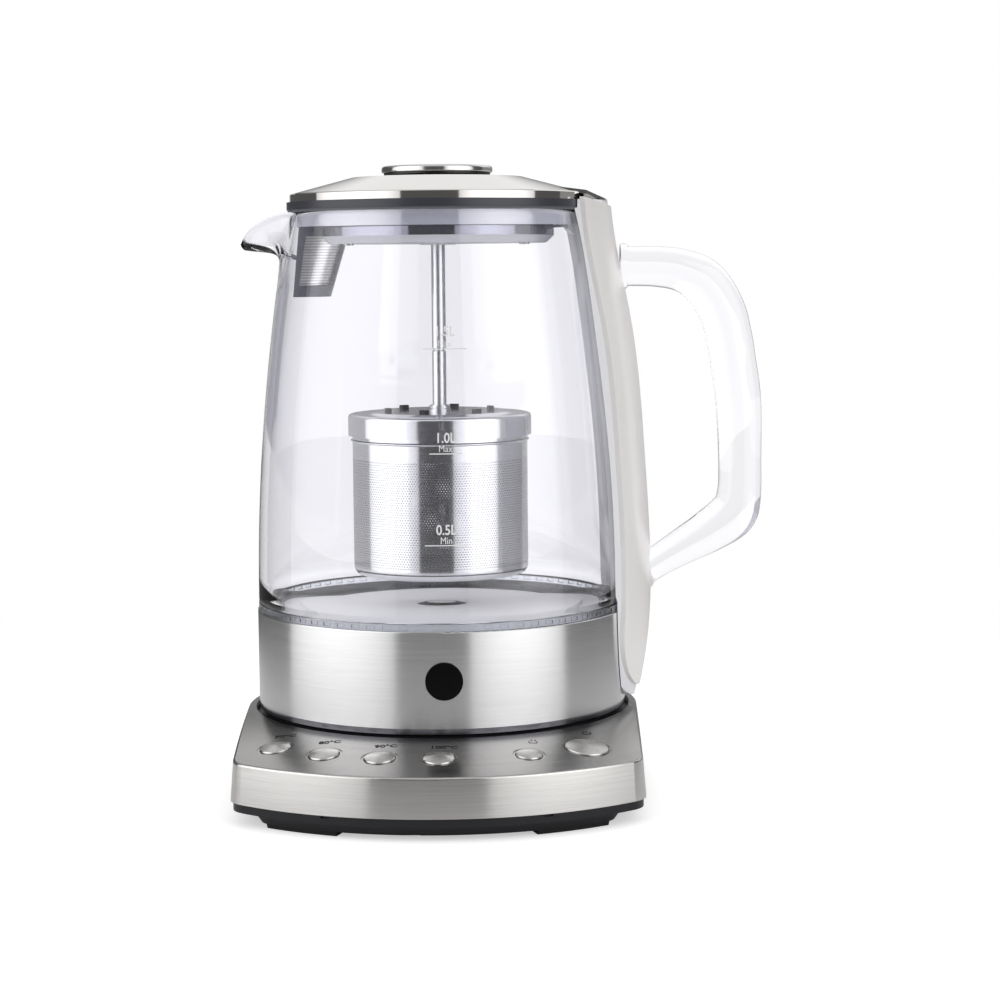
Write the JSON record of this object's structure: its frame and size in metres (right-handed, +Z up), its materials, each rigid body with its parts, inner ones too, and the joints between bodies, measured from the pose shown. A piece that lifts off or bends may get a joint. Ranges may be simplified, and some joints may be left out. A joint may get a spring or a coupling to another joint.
{
  "type": "automatic tea maker",
  "caption": "Glass jug with a steel collar, spine, lift-off lid and a perforated tea basket on a lifting rod, standing on a flat crowned power base with round push buttons.",
  "frame": {"origin": "on the jug axis, in the plane of the flat faces under the four feet", "axes": "+Z up along the jug axis; -Y towards the buttons at the front; +X towards the handle, with the spout at -X"},
  "size_m": [0.2084, 0.1952, 0.2438],
  "materials": {
    "base_plastic": "fine matt texture",
    "base_steel": "finely brushed around, satin",
    "basket_steel": "polished, finely perforated",
    "bayonet_plastic": "satin",
    "bezel_steel": "polished",
    "bushing_plastic": "satin",
    "button_steel": "satin",
    "circuit_board": "green lacquer",
    "collar_steel": "brushed around, satin",
    "connector_plastic": "satin",
    "control_plastic": "moulded",
    "cover_steel": "polished",
    "element_aluminium": "as cast",
    "filter_plastic": "satin",
    "foot_rubber": "matt",
    "gasket_rubber": "matt silicone",
    "handle_glass": "clear, polished",
    "jug_base_plastic": "satin",
    "jug_glass": "clear, polished",
    "knob_plastic": "satin",
    "knob_steel": "satin with a polished edge",
    "lid_plastic": "satin",
    "lid_steel": "polished rim, satin dome",
    "liner_plastic": "satin, slightly translucent",
    "mesh_steel": "woven fine wire",
    "pan_plastic": "satin",
    "plate_steel": "finely spun",
    "ring_plastic": "satin",
    "rod_steel": "polished",
    "screw_steel": "plain zinc",
    "seal_rubber": "matt silicone",
    "seal_silicone": "translucent",
    "seat_plastic": "fine matt texture",
    "sensor_steel": "polished",
    "spine_steel": "satin, brushed along",
    "spring_steel": "bright",
    "switch_plastic": "moulded",
    "trim_plastic": "satin",
    "washer_plastic": "satin"
  },
  "bodies": {
    "base": {"base_top_shell": "base_steel", "base_lower_tray": "base_plastic", "base_feet": "foot_rubber", "jug_seat": "seat_plastic", "base_screws": "screw_steel", "base_connector": "connector_plastic", "switch_board": "circuit_board", "button_switches": "switch_plastic", "button_bezels": "bezel_steel"},
    "washer": {"connector_washer": "washer_plastic"},
    "jug": {"jug_base_cover": "jug_base_plastic", "jug_base_screws": "screw_steel", "collar_trim_ring": "trim_plastic", "collar_shell": "collar_steel", "collar_top_ring": "ring_plastic", "heating_plate": "plate_steel", "sensor_cap": "sensor_steel", "plate_seal": "seal_rubber", "heating_element": "element_aluminium", "thermostat_control": "control_plastic", "jug_connector": "connector_plastic", "jug_glass": "jug_glass", "spine_liner": "liner_plastic", "spine_cover": "spine_steel", "glass_handle": "handle_glass"},
    "lid": {"lid_body": "lid_plastic", "lid_gasket_ring": "gasket_rubber", "lid_seal": "seal_silicone", "lid_underside": "pan_plastic", "lid_dome": "lid_steel", "lid_bushing": "bushing_plastic", "detent_ring": "spring_steel", "lid_screws": "screw_steel", "filter_mesh": "mesh_steel", "filter_frame": "filter_plastic"},
    "infuser": {"knob_base": "knob_plastic", "knob_disc": "knob_steel", "lift_rod": "rod_steel", "rod_nuts": "rod_steel", "basket_cover": "cover_steel", "bayonet_ring": "bayonet_plastic"},
    "cup": {"basket_cup": "basket_steel"},
    "button_70": {"button_70": "button_steel"},
    "button_80": {"button_80": "button_steel"},
    "button_90": {"button_90": "button_steel"},
    "button_100": {"button_100": "button_steel"},
    "button_keep_warm": {"button_keep_warm": "button_steel"},
    "button_power": {"button_power": "button_steel"}
  },
  "joints": [
    {"name": "jug_turn", "type": "hinge", "parent": "base", "child": "washer", "pos_m": [0, 0, 0], "axis": [0, 0, 1], "continuous": true},
    {"name": "jug_lift", "type": "slide", "parent": "washer", "child": "jug", "axis": [0, 0, 1], "range_m": [0, 0.06]},
    {"name": "lid_lift", "type": "slide", "parent": "jug", "child": "lid", "axis": [0, 0, 1], "range_m": [0, 0.16]},
    {"name": "infuser_lift", "type": "slide", "parent": "lid", "child": "infuser", "axis": [0, 0, 1], "range_m": [0, 0.05]},
    {"name": "cup_twist", "type": "hinge", "parent": "infuser", "child": "cup", "pos_m": [0, 0, 0.11], "axis": [0, 0, 1], "range_deg": [0, 25]},
    {"name": "button_70_press", "type": "slide", "parent": "base", "child": "button_70", "axis": [0.1053, 0.1324, -0.9856], "range_m": [0, 0.0008], "stiffness_N_per_m": 400},
    {"name": "button_80_press", "type": "slide", "parent": "base", "child": "button_80", "axis": [0.0726, 0.1528, -0.9856], "range_m": [0, 0.0008], "stiffness_N_per_m": 400},
    {"name": "button_90_press", "type": "slide", "parent": "base", "child": "button_90", "axis": [0.0363, 0.1652, -0.9856], "range_m": [0, 0.0008], "stiffness_N_per_m": 400},
    {"name": "button_100_press", "type": "slide", "parent": "base", "child": "button_100", "axis": [-0.0012, 0.1691, -0.9856], "range_m": [0, 0.0008], "stiffness_N_per_m": 400},
    {"name": "button_keep_warm_press", "type": "slide", "parent": "base", "child": "button_keep_warm", "axis": [-0.0584, 0.1587, -0.9856], "range_m": [0, 0.0008], "stiffness_N_per_m": 400},
    {"name": "button_power_press", "type": "slide", "parent": "base", "child": "button_power", "axis": [-0.0958, 0.1394, -0.9856], "range_m": [0, 0.0008], "stiffness_N_per_m": 400}
  ]
}
